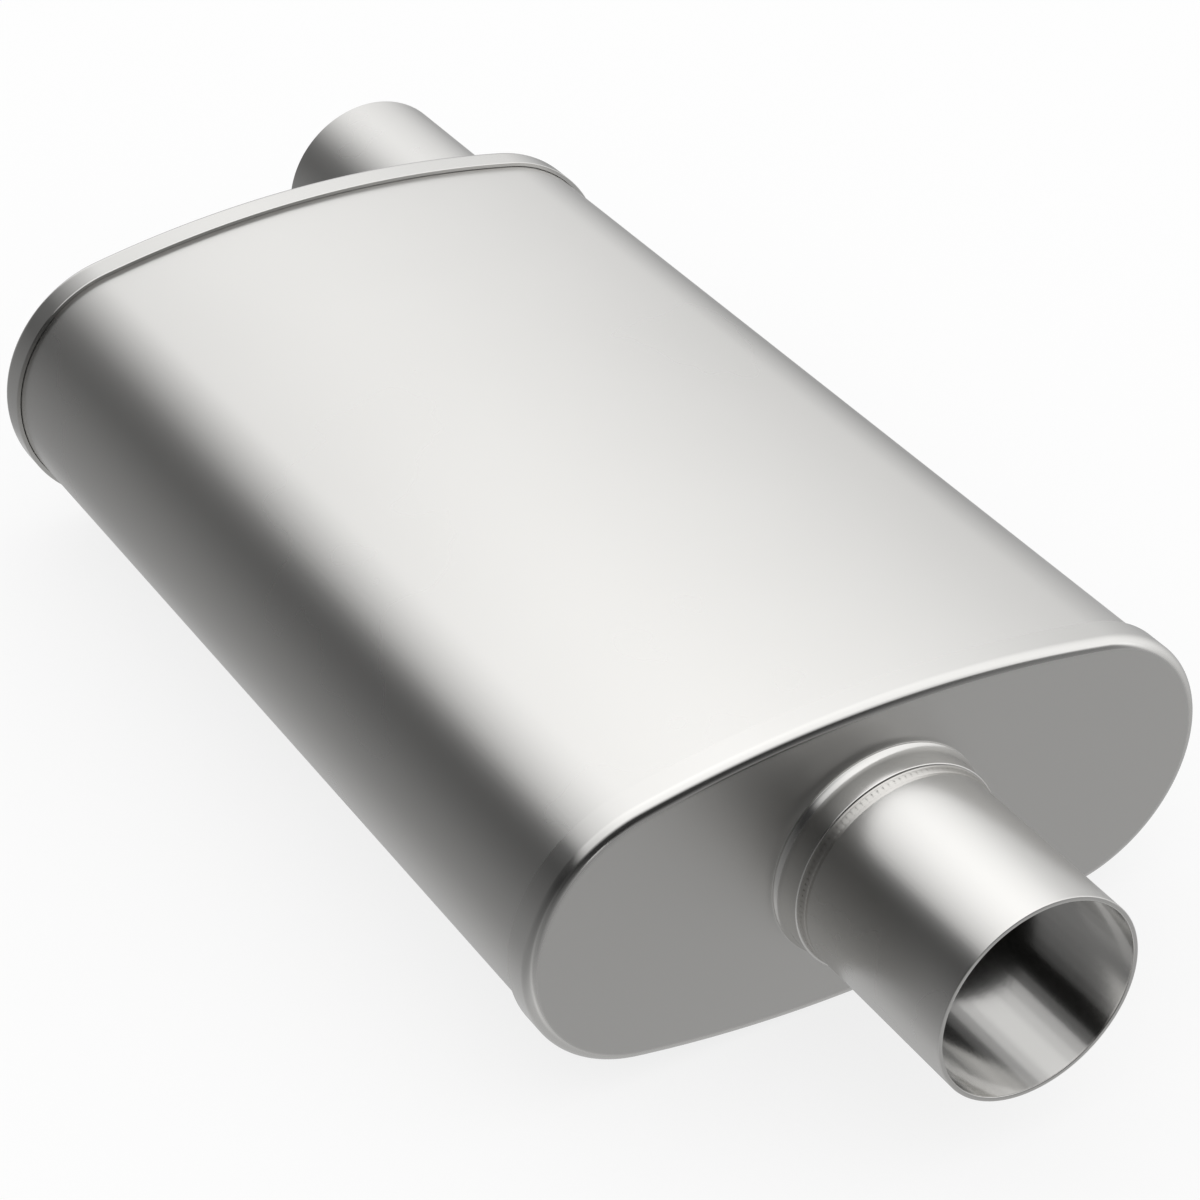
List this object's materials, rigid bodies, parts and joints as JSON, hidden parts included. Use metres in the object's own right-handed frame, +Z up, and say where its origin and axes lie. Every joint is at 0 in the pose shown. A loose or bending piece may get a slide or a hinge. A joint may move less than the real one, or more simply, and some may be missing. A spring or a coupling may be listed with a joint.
{
  "type": "straight-through muffler",
  "caption": "Oval straight-through exhaust muffler with pressed end caps, a centred inlet neck, an offset outlet neck and an S-bent perforated core in wool and fibre packing.",
  "frame": {"origin": "middle of the oval body, halfway between the two end caps, on the inlet neck's axis", "axes": "+Y from the inlet neck to the outlet neck, +X across the width towards the offset outlet, +Z up through the flat side"},
  "size_m": [0.232, 0.508, 0.105],
  "materials": {
    "shell_steel": "satin",
    "cap_steel": "satin",
    "neck_steel": "satin",
    "weld_steel": "as welded",
    "core_steel": "mill",
    "steel_wool": "fibrous",
    "fibre_packing": "fibrous"
  },
  "bodies": {
    "root": {"outer_shell": "shell_steel", "shell_seam_weld": "weld_steel", "inlet_end_cap": "cap_steel", "outlet_end_cap": "cap_steel", "inlet_neck": "neck_steel", "outlet_neck": "neck_steel", "inlet_neck_weld": "weld_steel", "outlet_neck_weld": "weld_steel", "perforated_core": "core_steel", "core_weld": "weld_steel", "steel_wool_sleeve": "steel_wool", "upper_packing": "fibre_packing", "lower_packing": "fibre_packing"}
  },
  "joints": []
}
